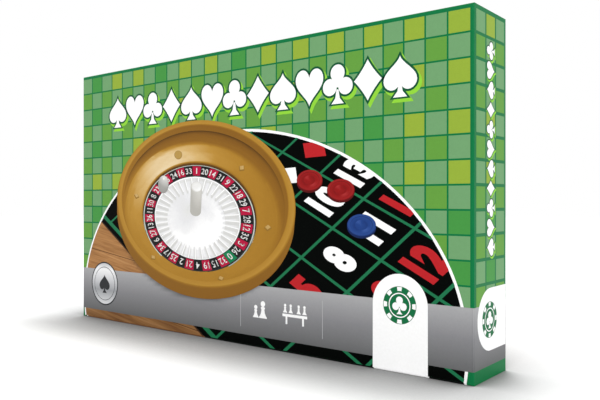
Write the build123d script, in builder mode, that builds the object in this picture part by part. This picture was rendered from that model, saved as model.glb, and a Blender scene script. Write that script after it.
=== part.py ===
"""Boxed roulette game: a printed carton that stands on its long side, with the wheel,
the ball, the betting mat and the chips seated in a formed plastic tray inside it.

Millimetres. X runs across the front panel, Z up, and the front panel faces -Y.
The origin is the middle of the surface that the box stands on. The carton takes its
size from what it holds, which makes it 400 wide, 50 deep and 230 high.
"""
from build123d import *
from math import atan, cos, degrees, radians, sin
import os

os.makedirs("parts", exist_ok=True)

# Carton
board = 1.5                # thickness of the folded board
fold_radius = 0.9          # outside of a fold
lid_play = 0.5             # lid to base, on every side
lid_shy = 0.5              # lid rim in front of the base's back face
rim_gap = 0.3              # base rim behind the lid's panel
head_room = 1.9            # lid's panel to the highest thing under it

# Formed tray
sheet = 0.8                # formed plastic sheet
insert_play = 0.5          # formed tray to the base's walls
insert_depth = 34.5
insert_corner = 9.0        # cut off the tray's corners
lean = 1.2                 # lean of the outer walls over the tray's depth
deck_edge = 1.6            # bevel round the deck
seat_gap = 0.3             # air under a piece that rests in its well
well_play = 0.7            # wheel to its well
well_side = 5.0            # deck left of the wheel's well
well_end = 9.1             # deck above and below the wheel's well
deck_gap = 10.2            # deck between the wheel's well and the column beside it
column_side = 10.0         # deck right of the column
row_gap = 16.0             # deck between the troughs and the mat's well
scoop_radius = 16.0        # finger scoops beside the wheel
scoop_depth = 20.0
scoop_angle = 135.0

# Betting mat, folded
mat_width = 160.0
mat_height = 130.0
mat_thickness = 6.5
mat_fold = 3.0             # outside of its lower fold
mat_play = 1.5
mat_well_depth = 8.0
mat_well_corner = 1.5
mat_scoop_radius = 11.0

# Chips
chip_radius = 11.0
chip_thickness = 2.4
chip_gap = 0.05
chip_play = 0.4
chips_in_stack = 5
chip_sides = 16            # flats that stand for each chip's round edge
trough_count = 6
trough_rib = 4.3           # deck between two troughs
trough_length = 32.0
trough_axis_drop = 1.5     # axis of the stacks below the deck

# Wheel bowl: radii from the wheel's axis, heights from the face that it stands on
bowl_radius = 100.0
rim_height = 28.0
lip_width = 7.0
lip_depth = 3.5            # height of the lip's outer face
lip_bevel = 1.4
bowl_wall = 2.0
floor_height = 1.5         # underside of the bowl's floor
foot_width = 3.2
foot_step = 2.4            # outside of the foot beyond the rotor's recess
track_inset = 5.6          # lip to the circle that the ball's centre runs on
track_height = 19.5
track_overhang = 48.0      # degrees that the track wraps over the ball
track_wrap = 76.5          # degrees that it wraps under the ball
track_flats = 3            # flats that stand for its round
slope_run = 20.6           # ball's circle to the rotor's recess
slope_foot_height = 11.2
deflector_inset = 11.4     # ball's circle to the deflectors
deflector_count = 6
deflector_start = 52.0
deflector_radius = 2.6
deflector_height = 1.7
deflector_taper = 30.0
dimple_radius = 5.5
dimple_depth = 0.6
rib_count = 6
rib_thickness = 1.6
rib_shy = 0.4              # ribs above the face that the foot stands on

# Ball
ball_radius = 5.0
ball_play = 0.3
ball_sides = 20            # flats that stand for its round

# Axle
pin_radius = 2.0
pin_top = 31.0
pin_foot = 2.1
pin_bevel = 0.4
running_gap = 0.05
boss_radius = 6.5
boss_height = 9.0
washer_thickness = 0.8
end_float = 0.1
sleeve_radius = 4.0
sleeve_top = 30.0
nut_thickness = 0.5
nut_radius = 3.7
nut_gap = 0.3

# Rotor
rotor_gap = 1.0            # rotor to its recess
rotor_wall = 1.6
rotor_rim = 1.7            # rim outside the number ring
ring_seat_height = 10.0
ring_width = 13.6
ring_thickness = 0.5
shoulder = 1.3             # number ring to the pockets
pocket_count = 37
pocket_floor = 6.4
pocket_length = 15.2
fret_thickness = 1.0
fret_height = 9.6
fret_set_in = 0.3          # inner ends of the frets outside the cone's foot
cone_waist_radius = 17.0
cone_waist_height = 8.6
cone_top_radius = 7.5
cone_top_height = 16.0
hub_radius = 5.6
hub_foot = 10.4

# Turret
turret_radius = 5.8
turret_top = 44.0
turret_edge = 0.8
turret_cavity_top = 32.6
press_gap = 0.02           # turret and rotor on the sleeve

# Places that follow from these sizes
wall_run = 2 * board + lid_play + insert_play + lean  # carton's face to the tray's deck
well_radius = bowl_radius + well_play
mat_well_width = mat_width + 2 * mat_play
mat_well_height = mat_height + 2 * mat_play
trough_radius = chip_radius + chip_play
trough_pitch = 2 * trough_radius + trough_rib
column_width = max(mat_well_width, trough_count * trough_pitch)
column_height = trough_length + row_gap + mat_well_height
box_width = 2 * (wall_run + well_radius) + well_side + deck_gap + column_width + column_side
box_height = 2 * (wall_run + well_end + well_radius)
chip_front = insert_depth + chip_radius - trough_axis_drop
turret_front = sheet + seat_gap + turret_top
box_depth = 2 * board + head_room + max(chip_front, turret_front)

front_y = -box_depth / 2
back_y = box_depth / 2
middle_z = box_height / 2
base_rim_y = front_y + board + rim_gap
base_floor_y = back_y - board
base_width = box_width - 2 * (board + lid_play)
base_height = box_height - 2 * (board + lid_play)
insert_width = base_width - 2 * (board + insert_play)
insert_height = base_height - 2 * (board + insert_play)
draft = degrees(atan(lean / insert_depth))
deck_y = base_floor_y - insert_depth
wheel_base_y = base_floor_y - sheet - seat_gap
wheel_x = wall_run + well_side + well_radius - box_width / 2
wheel_z = middle_z
column_x = box_width / 2 - wall_run - column_side - column_width / 2
trough_bottom = middle_z - column_height / 2
mat_well_bottom = trough_bottom + trough_length + row_gap
mat_well_z = mat_well_bottom + mat_well_height / 2
trough_y = deck_y + trough_axis_drop

lip_inner = bowl_radius - lip_width
track_radius = lip_inner - track_inset
recess_radius = track_radius - slope_run
deflector_ring = track_radius - deflector_inset
foot_radius = recess_radius + foot_step
foot_inner = foot_radius - foot_width
rotor_radius = recess_radius - rotor_gap
ring_outer = rotor_radius - rotor_rim
ring_inner = ring_outer - ring_width
pocket_outer = ring_inner - shoulder
pocket_inner = pocket_outer - pocket_length
hub_bottom = boss_height + washer_thickness + end_float


def across(y):
    """Sketch plane at depth y: its x is X, its y is Z, and it faces the front."""
    return Plane.XZ.offset(-y)


def wheel_face(height):
    """Sketch plane square to the wheel's axis, at a height over the wheel's base."""
    return Plane(origin=(wheel_x, wheel_base_y - height, wheel_z), x_dir=(1, 0, 0), z_dir=(0, -1, 0))


# Half section of the wheel: x is the radius, y the height over the wheel's base
wheel_section = Plane(origin=(wheel_x, wheel_base_y, wheel_z), x_dir=(1, 0, 0), z_dir=(0, 0, -1))
wheel_axis = Axis((wheel_x, wheel_base_y, wheel_z), (0, -1, 0))

# Lid: one sheet of board folded down on four sides, deep enough to hide the base
with BuildPart() as lid:
    with BuildSketch(across(front_y)):
        with Locations((0, middle_z)):
            Rectangle(box_width, box_height)
    extrude(amount=-(box_depth - lid_shy))
    fillet(lid.faces().sort_by(Axis.Y)[0].edges(), fold_radius)
    offset(amount=-board, openings=lid.faces().sort_by(Axis.Y)[-1])
lid.part.label = "lid"
export_step(lid.part, "parts/lid.step")

# Base: the same fold the other way round, sliding inside the lid
with BuildPart() as base_tray:
    with BuildSketch(across(back_y)):
        with Locations((0, middle_z)):
            Rectangle(base_width, base_height)
    extrude(amount=back_y - base_rim_y)
    fillet(base_tray.faces().sort_by(Axis.Y)[-1].edges(), fold_radius)
    offset(amount=-board, openings=base_tray.faces().sort_by(Axis.Y)[0])
base_tray.part.label = "base_tray"
export_step(base_tray.part, "parts/base_tray.step")

# Formed tray: a drafted shell that stands on the base's floor. Each well is a cup let
# into the deck, first as a solid one sheet larger than its hollow and then emptied.
scoop_places = [
    (wheel_x + well_radius * cos(radians(a)), wheel_z + well_radius * sin(radians(a)))
    for a in (scoop_angle, scoop_angle + 180)
]
mat_scoop_places = [(column_x, mat_well_z + side * mat_well_height / 2) for side in (-1, 1)]
with BuildPart() as insert_core:
    with BuildSketch(across(base_floor_y)) as core_outline:
        with Locations((0, middle_z)):
            Rectangle(insert_width, insert_height)
        chamfer(core_outline.vertices(), insert_corner)
        offset(amount=-sheet, kind=Kind.INTERSECTION)
    extrude(amount=insert_depth - sheet, taper=draft)
    chamfer(insert_core.faces().sort_by(Axis.Y)[0].edges(), deck_edge - sheet / 2)
with BuildPart() as insert:
    with BuildSketch(across(base_floor_y)) as insert_outline:
        with Locations((0, middle_z)):
            Rectangle(insert_width, insert_height)
        chamfer(insert_outline.vertices(), insert_corner)
    extrude(amount=insert_depth, taper=draft)
    chamfer(insert.faces().sort_by(Axis.Y)[0].edges(), deck_edge)
    add(insert_core.part, mode=Mode.SUBTRACT)
    for wall, mode in ((sheet, Mode.ADD), (0, Mode.SUBTRACT)):
        with BuildSketch(across(deck_y)):
            with Locations((wheel_x, wheel_z)):
                Circle(well_radius + wall)
        extrude(amount=-(insert_depth - sheet + wall), mode=mode)
        with BuildSketch(across(deck_y)):
            with Locations(*scoop_places):
                Circle(scoop_radius + wall)
        extrude(amount=-(scoop_depth + wall), mode=mode)
        with BuildSketch(across(deck_y)):
            with Locations((column_x, mat_well_z)):
                RectangleRounded(mat_well_width + 2 * wall, mat_well_height + 2 * wall, mat_well_corner + wall)
            with Locations(*mat_scoop_places):
                Circle(mat_scoop_radius + wall)
        extrude(amount=-(mat_well_depth + wall), mode=mode)
        with BuildSketch(Plane.XY.offset(trough_bottom - wall)):
            with Locations((column_x, trough_y)):
                with GridLocations(trough_pitch, 0, trough_count, 1):
                    Circle(trough_radius + wall)
                    Rectangle(2 * (trough_radius + wall), trough_axis_drop, align=(Align.CENTER, Align.MAX))
        extrude(amount=trough_length + 2 * wall, mode=mode)
    # What is left of the round troughs in front of the deck is trimmed away
    with BuildSketch(across(deck_y)):
        with Locations((0, middle_z)):
            Rectangle(base_width, base_height)
    extrude(amount=trough_radius + sheet, mode=Mode.SUBTRACT)
insert.part.label = "insert"
export_step(insert.part, "parts/insert.step")

# Wheel bowl: a moulded dish with a lip, an undercut track for the ball, a slope with
# deflectors down to the rotor's recess, and a ribbed underside on a ring foot
track_step = (track_overhang + track_wrap) / track_flats
groove_radius = (ball_radius + ball_play) / cos(radians(track_step / 2))


def round_the_ball(radius, step):
    """Point of the half section at a radius round the ball, so many flats below the overhang."""
    angle = radians(track_overhang - step * track_step)
    return track_radius + radius * cos(angle), track_height + radius * sin(angle)


track_points = [round_the_ball(groove_radius, step) for step in range(track_flats + 1)]
hull_points = [round_the_ball(groove_radius + bowl_wall, step) for step in range(track_flats, 0, -1)]
with BuildPart() as wheel_bowl:
    with BuildSketch(wheel_section):
        with BuildLine():
            Polyline(
                (0, floor_height), (foot_inner, floor_height), (foot_inner, 0), (foot_radius, 0),
                (foot_radius, slope_foot_height - bowl_wall), *hull_points,
                (bowl_radius - lip_depth, rim_height - lip_depth), (bowl_radius, rim_height - lip_depth),
                (bowl_radius, rim_height - lip_bevel), (bowl_radius - lip_bevel, rim_height),
                (lip_inner, rim_height), *track_points,
                (recess_radius, slope_foot_height), (recess_radius, floor_height + bowl_wall),
                (boss_radius, floor_height + bowl_wall), (boss_radius, boss_height), (0, boss_height),
                close=True,
            )
        make_face()
    revolve(axis=wheel_axis)
    # Ribs under the floor, from the boss to the foot
    with BuildSketch(wheel_face(rib_shy)):
        with PolarLocations(foot_inner / 2, rib_count):
            Rectangle(foot_inner, rib_thickness)
        Circle(foot_inner, mode=Mode.INTERSECT)
    extrude(amount=floor_height - rib_shy)
    # Deflectors on the slope; the last place holds the round dimple of the mould's gate
    slope_end_radius, slope_end_height = track_points[-1]
    slope_rise = (slope_end_height - slope_foot_height) / (slope_end_radius - recess_radius)
    deflector_foot = slope_foot_height + slope_rise * (deflector_ring - recess_radius)
    deflector_root = deflector_foot - slope_rise * deflector_radius
    deflector_turn = 360 / deflector_count
    with BuildSketch(wheel_face(deflector_root)):
        with PolarLocations(deflector_ring, deflector_count - 1, deflector_start + 2 * deflector_turn,
                            360 - 2 * deflector_turn, endpoint=True):
            RegularPolygon(deflector_radius, 4)
    extrude(amount=deflector_foot + deflector_height - deflector_root, taper=deflector_taper)
    with BuildSketch(wheel_face(deflector_foot - dimple_depth)):
        with PolarLocations(deflector_ring, 1, deflector_start + deflector_turn):
            Circle(dimple_radius)
    extrude(amount=rim_height - deflector_foot, mode=Mode.SUBTRACT)
    # Blind hole for the axle pin
    with BuildSketch(wheel_face(boss_height)):
        Circle(pin_radius)
    extrude(amount=pin_foot - boss_height, mode=Mode.SUBTRACT)
wheel_bowl.part.label = "wheel_bowl"
export_step(wheel_bowl.part, "parts/wheel_bowl.step")

# Axle pin, pressed into the boss
with BuildPart() as axle_pin:
    with BuildSketch(wheel_face(pin_foot)):
        Circle(pin_radius)
    extrude(amount=pin_top - pin_foot)
    chamfer(axle_pin.faces().sort_by(Axis.Y)[0].edges(), pin_bevel)
axle_pin.part.label = "axle_pin"
export_step(axle_pin.part, "parts/axle_pin.step")

# Washer that the sleeve turns on
with BuildPart() as thrust_washer:
    with BuildSketch(wheel_face(boss_height)):
        Circle(boss_radius)
        Circle(pin_radius + running_gap, mode=Mode.SUBTRACT)
    extrude(amount=washer_thickness)
thrust_washer.part.label = "thrust_washer"
export_step(thrust_washer.part, "parts/thrust_washer.step")

# Bearing sleeve, the tube that turns on the pin and carries the rotor and the turret
with BuildPart() as bearing_sleeve:
    with BuildSketch(wheel_face(hub_bottom)):
        Circle(sleeve_radius)
        Circle(pin_radius + running_gap, mode=Mode.SUBTRACT)
    extrude(amount=sleeve_top - hub_bottom)
bearing_sleeve.part.label = "bearing_sleeve"
export_step(bearing_sleeve.part, "parts/bearing_sleeve.step")

# Push nut on the pin, which keeps the sleeve from lifting off
with BuildPart() as push_nut:
    with BuildSketch(wheel_face(sleeve_top + nut_gap)):
        RegularPolygon(nut_radius, 6)
        Circle(pin_radius, mode=Mode.SUBTRACT)
    extrude(amount=nut_thickness)
push_nut.part.label = "push_nut"
export_step(push_nut.part, "parts/push_nut.step")

# Rotor: a moulded plate with the number ring's seat, a row of pockets between frets and
# a cone that carries the sleeve
sleeve_seat = sleeve_radius + press_gap
with BuildPart() as rotor:
    with BuildSketch(wheel_section):
        with BuildLine():
            Polyline(
                (sleeve_seat, cone_top_height), (cone_top_radius, cone_top_height),
                (cone_waist_radius, cone_waist_height), (pocket_inner, pocket_floor), (pocket_outer, pocket_floor),
                (pocket_outer, ring_seat_height), (rotor_radius, ring_seat_height),
                (rotor_radius, ring_seat_height - rotor_wall), (ring_inner, ring_seat_height - rotor_wall),
                (ring_inner, pocket_floor - rotor_wall), (cone_waist_radius, pocket_floor - rotor_wall),
                (hub_radius, hub_foot), (sleeve_seat, hub_foot),
                close=True,
            )
        make_face()
    revolve(axis=wheel_axis)
    with BuildSketch(wheel_face(pocket_floor)):
        with PolarLocations(pocket_inner + fret_set_in, pocket_count):
            Rectangle(pocket_length, fret_thickness, align=(Align.MIN, Align.CENTER))
    extrude(amount=fret_height - pocket_floor)
rotor.part.label = "rotor"
export_step(rotor.part, "parts/rotor.step")

# Number ring, a printed card ring glued on the rotor's shoulder
with BuildPart() as number_ring:
    with BuildSketch(wheel_face(ring_seat_height)):
        Circle(ring_outer)
        Circle(ring_inner, mode=Mode.SUBTRACT)
    extrude(amount=ring_thickness)
number_ring.part.label = "number_ring"
export_step(number_ring.part, "parts/number_ring.step")

# Turret: the post that is gripped to spin the rotor, pushed onto the sleeve
with BuildPart() as turret:
    with BuildSketch(wheel_section):
        with BuildLine():
            Polyline(
                (0, turret_top), (turret_radius - turret_edge, turret_top), (turret_radius, turret_top - turret_edge),
                (turret_radius, cone_top_height), (sleeve_seat, cone_top_height),
                (sleeve_seat, turret_cavity_top), (0, turret_cavity_top),
                close=True,
            )
        make_face()
    revolve(axis=wheel_axis)
turret.part.label = "turret"
export_step(turret.part, "parts/turret.step")

# Ball, at the lowest place of its track: its corners lie on the round that they stand for
ball_turn = 360 / ball_sides
ball_corners = [
    Vector(ball_radius, 0, 0).rotate(Axis.Y, ball_turn * (ring + 0.5) - 90).rotate(Axis.Z, ball_turn * side)
    for ring in range(ball_sides // 2) for side in range(ball_sides)
]
with BuildPart() as ball:
    with Locations((wheel_x, wheel_base_y - track_height, wheel_z - track_radius)):
        ConvexPolyhedron(ball_corners)
ball.part.label = "ball"
export_step(ball.part, "parts/ball.step")

# Betting mat, folded three times across and twice down: the fold that shows is at the
# bottom, where the well's scoop lets a finger under it
mat_back_y = deck_y + mat_well_depth - seat_gap
with BuildPart() as betting_mat:
    with BuildSketch(across(mat_back_y)):
        with Locations((column_x, mat_well_bottom + seat_gap)):
            Rectangle(mat_width, mat_height, align=(Align.CENTER, Align.MIN))
    extrude(amount=mat_thickness)
    fillet(betting_mat.faces().sort_by(Axis.Z)[0].edges().filter_by(Axis.X), mat_fold)
betting_mat.part.label = "betting_mat"
export_step(betting_mat.part, "parts/betting_mat.step")

# Chips: stacks that stand in the troughs, each colour in two of them
stack_step = chip_thickness + chip_gap
for first, colour in enumerate(("red", "blue", "yellow")):
    stacks = range(first, trough_count, 3)
    stack_xs = [column_x + (place - (trough_count - 1) / 2) * trough_pitch for place in stacks]
    with BuildPart() as chips:
        for layer in range(chips_in_stack):
            with BuildSketch(Plane.XY.offset(trough_bottom + layer * stack_step)):
                with Locations(*[(x, trough_y) for x in stack_xs]):
                    RegularPolygon(chip_radius, chip_sides)
            extrude(amount=chip_thickness)
    chips.part.label = f"{colour}_chips"
    export_step(chips.part, f"parts/{colour}_chips.step")
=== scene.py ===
from math import atan2, cos, hypot, pi, radians, sin, sqrt

import bmesh
import bpy
from mathutils import Matrix, Vector
from mathutils.bvhtree import BVHTree


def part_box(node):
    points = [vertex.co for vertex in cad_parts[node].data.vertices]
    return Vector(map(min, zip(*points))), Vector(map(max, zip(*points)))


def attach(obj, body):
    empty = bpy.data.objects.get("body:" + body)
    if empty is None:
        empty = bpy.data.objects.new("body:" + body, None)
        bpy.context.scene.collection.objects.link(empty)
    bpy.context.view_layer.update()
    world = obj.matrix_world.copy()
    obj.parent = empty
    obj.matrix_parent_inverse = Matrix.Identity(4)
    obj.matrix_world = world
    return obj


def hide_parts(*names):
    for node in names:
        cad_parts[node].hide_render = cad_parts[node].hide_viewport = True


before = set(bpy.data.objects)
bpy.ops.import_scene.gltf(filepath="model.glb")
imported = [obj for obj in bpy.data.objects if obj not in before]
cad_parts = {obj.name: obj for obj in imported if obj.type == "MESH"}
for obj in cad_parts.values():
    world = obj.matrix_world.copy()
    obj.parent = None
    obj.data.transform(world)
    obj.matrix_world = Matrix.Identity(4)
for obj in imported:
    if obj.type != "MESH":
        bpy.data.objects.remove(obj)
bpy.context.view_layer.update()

# Camera. It stands level at the height of the box's middle, off to the right, so that the
# printed front and the right-hand wall both show.
def linked(name, data):
    """A new object in the scene."""
    thing = bpy.data.objects.new(name, data)
    bpy.context.scene.collection.objects.link(thing)
    return thing


camera_data = bpy.data.cameras.new("camera")
camera_data.sensor_width, camera_data.lens = 36, 40.44
camera = linked("camera", camera_data)
camera.location = (0.3688, -0.4054, 0.1116)
camera.rotation_euler = (radians(90), 0, radians(38.4))
bpy.context.scene.camera = camera


# Base tray. A sheet of unprinted recycled greyboard, 1.5 mm thick, cut, creased and folded
# up on four sides; the lid slides over it and its back is the back of the closed box.
def linear(code):
    """Linear colour of an sRGB hex code."""
    parts = [int(code[place:place + 2], 16) / 255 for place in (1, 3, 5)]
    return (*(c / 12.92 if c <= 0.04045 else ((c + 0.055) / 1.055) ** 2.4 for c in parts), 1)


def put(tree, kind, *feed, stops=(), **given):
    """Adds a node of a kind, which its operation may follow after a point. Feed goes to its
    inputs in order; of the names, a capitalised one is an input and the others are settings.
    A node that is fed stands for its first output."""
    kind, _, operation = kind.partition(".")
    if "Node" not in kind:
        kind = ("ShaderNode" if tree.type == "SHADER" else "GeometryNode") + kind
    node = tree.nodes.new(kind)
    if operation:
        node.operation = operation
    for name, value in given.items():
        if name[0].islower():
            setattr(node, name, value)
    sockets = [socket for socket in node.inputs if socket.enabled]
    named = {socket.name.replace(" ", "_"): socket for socket in reversed(sockets)}
    pairs = list(zip(sockets, feed))
    pairs += [(named[name], value) for name, value in given.items() if not name[0].islower()]
    for socket, value in pairs:
        if isinstance(value, bpy.types.Node):
            value = next(output for output in value.outputs if output.enabled)
        if isinstance(value, bpy.types.NodeSocket):
            tree.links.new(value, socket)
        elif isinstance(value, str) and value.startswith("#"):
            socket.default_value = linear(value)
        elif value is not None:
            socket.default_value = value
    if stops:
        ramp = node.color_ramp.elements
        while len(ramp) < len(stops):
            ramp.new(0.5)
        for element, (place, code) in zip(ramp, sorted(stops)):
            element.position, element.color = place, linear(code)
    return node


def new_material(name):
    """An empty material's node tree, and where a point of the piece lies, in metres."""
    material = bpy.data.materials.new(name)
    material.use_nodes = True
    material.node_tree.nodes.clear()
    return material, material.node_tree, put(material.node_tree, "TexCoord").outputs["Object"]


def mottled(tree, place, size, dark, pale, **given):
    """Noise of a size in metres, and a tone that wanders with it between two codes."""
    noise = put(tree, "TexNoise", place, Scale=1 / size, **given)
    return noise, put(tree, "ValToRGB", noise, stops=((0.3, dark), (0.7, pale)))


def surface(tree, **inputs):
    put(tree, "OutputMaterial", put(tree, "BsdfPrincipled", **inputs))


def dress(node, material):
    """Gives a CAD piece that stays as it is its material."""
    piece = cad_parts[node]
    piece.data.materials.clear()
    piece.data.materials.append(material)


# Mixed pulp gives the eye a warm grey that wanders over a few millimetres, with dark flecks
greyboard, tree, place = new_material("recycled_greyboard")
tone = mottled(tree, place, 0.005, "#a39b8e", "#b0a89b", Detail=4, Roughness=0.6)[1]
fleck = put(tree, "TexNoise", place, Scale=1 / 0.0011, Detail=2)
speck = put(tree, "ValToRGB", fleck, stops=((0.27, "#7b7266"), (0.36, "#ffffff")))
colour = put(tree, "Mix", data_type="RGBA", blend_type="MULTIPLY", Factor=0.6, A=tone, B=speck)
relief = put(tree, "Bump", Strength=0.3, Distance=0.0002, Height=fleck)
surface(tree, Base_Color=colour, Roughness=0.92, Normal=relief)
dress("base_tray", greyboard)


# Formed tray. White high-impact polystyrene sheet, drawn down by vacuum over a mould into
# wells for the wheel, the mat and the chips; it drops into the base tray.
# The drawn sheet gives the eye a soft gloss with a faint orange peel, thinner and greyer
# where it was stretched
polystyrene, tree, place = new_material("formed_polystyrene_sheet")
peel = put(tree, "TexNoise", place, Scale=1 / 0.0025, Detail=2)
stretch, tone = mottled(tree, place, 0.03, "#e5e4e0", "#ebeae6", Detail=3)
shine = put(tree, "MapRange", stretch, From_Min=0.3, From_Max=0.7, To_Min=0.3, To_Max=0.42)
relief = put(tree, "Bump", Strength=0.15, Distance=0.0003, Height=peel)
surface(tree, Base_Color=tone, Roughness=shine, Normal=relief)
dress("insert", polystyrene)


# Wheel bowl. A dish 200 mm across, injection moulded in gold-pigmented ABS, with a rolled
# lip, an undercut track for the ball, a slope with deflectors and a ribbed ring foot.
wheel_low, wheel_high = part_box("wheel_bowl")
axis_x, axis_z = (wheel_low.x + wheel_high.x) / 2, (wheel_low.z + wheel_high.z) / 2
wheel_back = wheel_high.y


def seated(point):
    """A point of the wheel in its place; x is across, y up, z over the wheel's base, in mm."""
    return axis_x + point[0] / 1000, wheel_back - point[2] / 1000, axis_z + point[1] / 1000


def arc(centre, radius, start, end, steps):
    """Points of an arc, in degrees, both ends included."""
    turns = [radians(start + (end - start) * step / steps) for step in range(steps + 1)]
    return [(centre[0] + radius * cos(turn), centre[1] + radius * sin(turn)) for turn in turns]


def spun(profile, steps):
    """Vertices and faces of a half section, points of radius and height, turned round the axis."""
    verts, rings = [], []
    for radius, height in profile:
        if radius < 1e-6:
            rings.append([len(verts)] * steps)
            verts.append((0, 0, height))
        else:
            rings.append(list(range(len(verts), len(verts) + steps)))
            turns = [2 * pi * step / steps for step in range(steps)]
            verts += [(radius * cos(turn), radius * sin(turn), height) for turn in turns]
    faces = []
    for low, high in zip(rings, rings[1:]):
        for step in range(steps):
            after = (step + 1) % steps
            face = (low[step], high[step], high[after], low[after])
            face = [corner for at, corner in enumerate(face) if corner != face[at - 1]]
            if len(face) > 2:
                faces.append(face)
    return verts, faces


def mesh_of(name, shells, crease=32, closed=True):
    """One mesh of several shells, each of vertices, faces and a material."""
    shape = bmesh.new()
    materials = []
    for verts, faces, material in shells:
        if material not in materials:
            materials.append(material)
        corners = [shape.verts.new((*point, 0)[:3]) for point in verts]
        for face in faces:
            if len(set(face)) > 2:
                made = shape.faces.new([corners[at] for at in face])
                made.material_index = materials.index(material)
    if closed:
        bmesh.ops.recalc_face_normals(shape, faces=shape.faces)
    mesh = bpy.data.meshes.new(name)
    shape.to_mesh(mesh)
    shape.free()
    for material in materials:
        mesh.materials.append(material)
    mesh.polygons.foreach_set("use_smooth", [True] * len(mesh.polygons))
    mesh.set_sharp_from_angle(angle=radians(crease))
    return mesh


def fit(name, mesh, body, slot, *nodes, move=None):
    """Makes the mesh a piece on a body, in its place, standing for the CAD nodes named."""
    if move:
        for vertex in mesh.vertices:
            vertex.co = move(vertex.co)
    mesh.name = name
    piece = linked(name, mesh)
    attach(piece, body)
    if nodes:
        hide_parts(*nodes)
    return piece


bowl_radius, rim_height, recess_radius, slope_foot = 100.0, 28.0, 66.8, 11.2
track_radius, track_height, groove = 87.4, 19.5, 5.3


def bowl_profile(skirt, recess):
    """Half section of the bowl, from the top of the boss over the rim to the foot."""
    under = rim_height - skirt
    inside = [(0, 9), (6.2, 9), (6.5, 8.7), (6.5, 3.8), (6.9, 3.5), (recess - 0.6, 3.5)]
    inside += [(recess, 4.1), (recess, slope_foot - 0.3), (recess + 0.4, slope_foot)]
    inside += [(recess + step * 1.75, slope_foot + step * 0.25) for step in range(1, 12)]
    inside += arc((track_radius, track_height), groove, -82, 48, 16)
    lip = [(92.2, 25.6)] + arc((94.2, 26.6), 1.4, 170, 90, 4) + arc((98.2, 26.2), 1.8, 90, 0, 6)
    lip += [(bowl_radius, under + 0.4), (bowl_radius - 0.4, under), (bowl_radius - 1.8, under)]
    hull = [(96.2, rim_height - 3.8)] + arc((track_radius, track_height), groove + 2, 8, -78, 8)
    foot = [(69.2, 9.2), (69.2, 0.5), (68.7, 0), (66.5, 0), (66, 0.5), (66, 1.5), (0, 1.5)]
    return inside + lip + hull + foot


def on_slope(radius, turn, rise):
    """A point over the bowl's slope, at an angle from the right."""
    return radius * cos(turn), radius * sin(turn), slope_foot + (radius - recess_radius) / 7 + rise


def bowl_shells(skirt, steps, material, stud=1.0, knob=None, marks=(), recess=recess_radius,
                places=(172, 112, 52, -8, -68, -128)):
    """The bowl with five diamonds that knock the ball about, and a round gate mark in the
    second place. A stud under 1 makes the diamonds wider and lower. A drawn bowl has inks of
    its own for them and for the mark, which is then two discs of a radius and a height."""
    shells = [(*spun(bowl_profile(skirt, recess), steps), material)]
    ring, corners = 76, (0, pi / 2, pi, 3 * pi / 2)
    raised = [(0, -0.3), (5.7, -0.3), (5.7, 0.12), (5.4, 0.3), (5.0, 0.3), (4.6, 0.05), (0, 0.05)]
    discs = [([(0, -0.2), (r, -0.2), (r, top), (0, top)], colour) for r, top, colour in marks]
    levels = (2.9 / stud ** 0.4, -0.4), (1.3 / stud, 1.3), (0.8 / stud, 1.5)
    sides = [(at, (at + 1) % 4, (at + 1) % 4 + 4, at + 4) for at in range(4)]
    sides += [tuple(corner + 4 for corner in side) for side in sides] + [(8, 9, 10, 11)]
    for place, start in enumerate(places):
        turn = radians(start)
        if place != 1:
            verts = [on_slope(ring + reach * cos(a), turn + reach * sin(a) / ring, rise * stud)
                     for reach, rise in levels for a in corners]
            shells.append((verts, sides, knob or material))
            continue
        for half, colour in discs or [(raised, material)]:
            verts, faces = spun(half, 40)
            verts = [on_slope(ring + x, turn + y / ring, z / stud) for x, y, z in verts]
            shells.append((verts, faces, colour))
    return shells


# Fine metallic pigment in the plastic gives the eye a warm satin gold with soft flow marks;
# the flakes are drawn ten times their real 0.05 mm, so that they show
gold, tree, place = new_material("gold_pigmented_abs")
flow, tone = mottled(tree, place, 0.03, "#a37528", "#b6883a", Detail=3, Distortion=0.6)
flakes = put(tree, "TexVoronoi", place, Scale=1 / 0.0005)
glint = put(tree, "ValToRGB", flakes.outputs["Color"], stops=((0.2, "#d8d0c0"), (0.8, "#ffffff")))
colour = put(tree, "Mix", data_type="RGBA", blend_type="MULTIPLY", Factor=0.35, A=tone, B=glint)
shine = put(tree, "MapRange", flow, From_Min=0.3, From_Max=0.7, To_Min=0.34, To_Max=0.46)
relief = put(tree, "Bump", Strength=0.08, Distance=0.0002, Height=flakes)
surface(tree, Base_Color=colour, Metallic=0.3, Roughness=shine, Normal=relief)

shells = bowl_shells(3.5, 192, gold)
rib_plan = (6, -0.8), (66.2, -0.8), (66.2, 0.8), (6, 0.8)
rib_sides = [(0, 1, 5, 4), (1, 2, 6, 5), (2, 3, 7, 6), (3, 0, 4, 7), (3, 2, 1, 0), (4, 5, 6, 7)]
for rib in range(6):
    turn = Matrix.Rotation(radians(60 * rib), 3, "Z")
    corners = [turn @ Vector((x, y, z)) for z in (0.5, 1.6) for x, y in rib_plan]
    shells.append((corners, rib_sides, gold))
fit("moulded_bowl", mesh_of("bowl", shells), "wheel", "gold_plastic", "wheel_bowl", move=seated)


# Axle. A turned steel pin pressed into the bowl's boss, an acetal washer on the boss, the
# rotor's brass bearing sleeve, and a spring-steel push nut that keeps the sleeve down.
# Turning leaves fine rings round the pin, which give the eye a streaked highlight
def turned(name, pale, dark, metallic, roughness):
    material, tree, place = new_material(name)
    rings = put(tree, "Mapping", place, Scale=(200, 1 / 0.0003, 200))
    streaks, tone = mottled(tree, rings, 1, dark, pale, Detail=2)
    relief = put(tree, "Bump", Strength=0.2, Distance=0.00005, Height=streaks)
    surface(tree, Base_Color=tone, Metallic=metallic, Roughness=roughness, Normal=relief)
    return material


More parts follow.
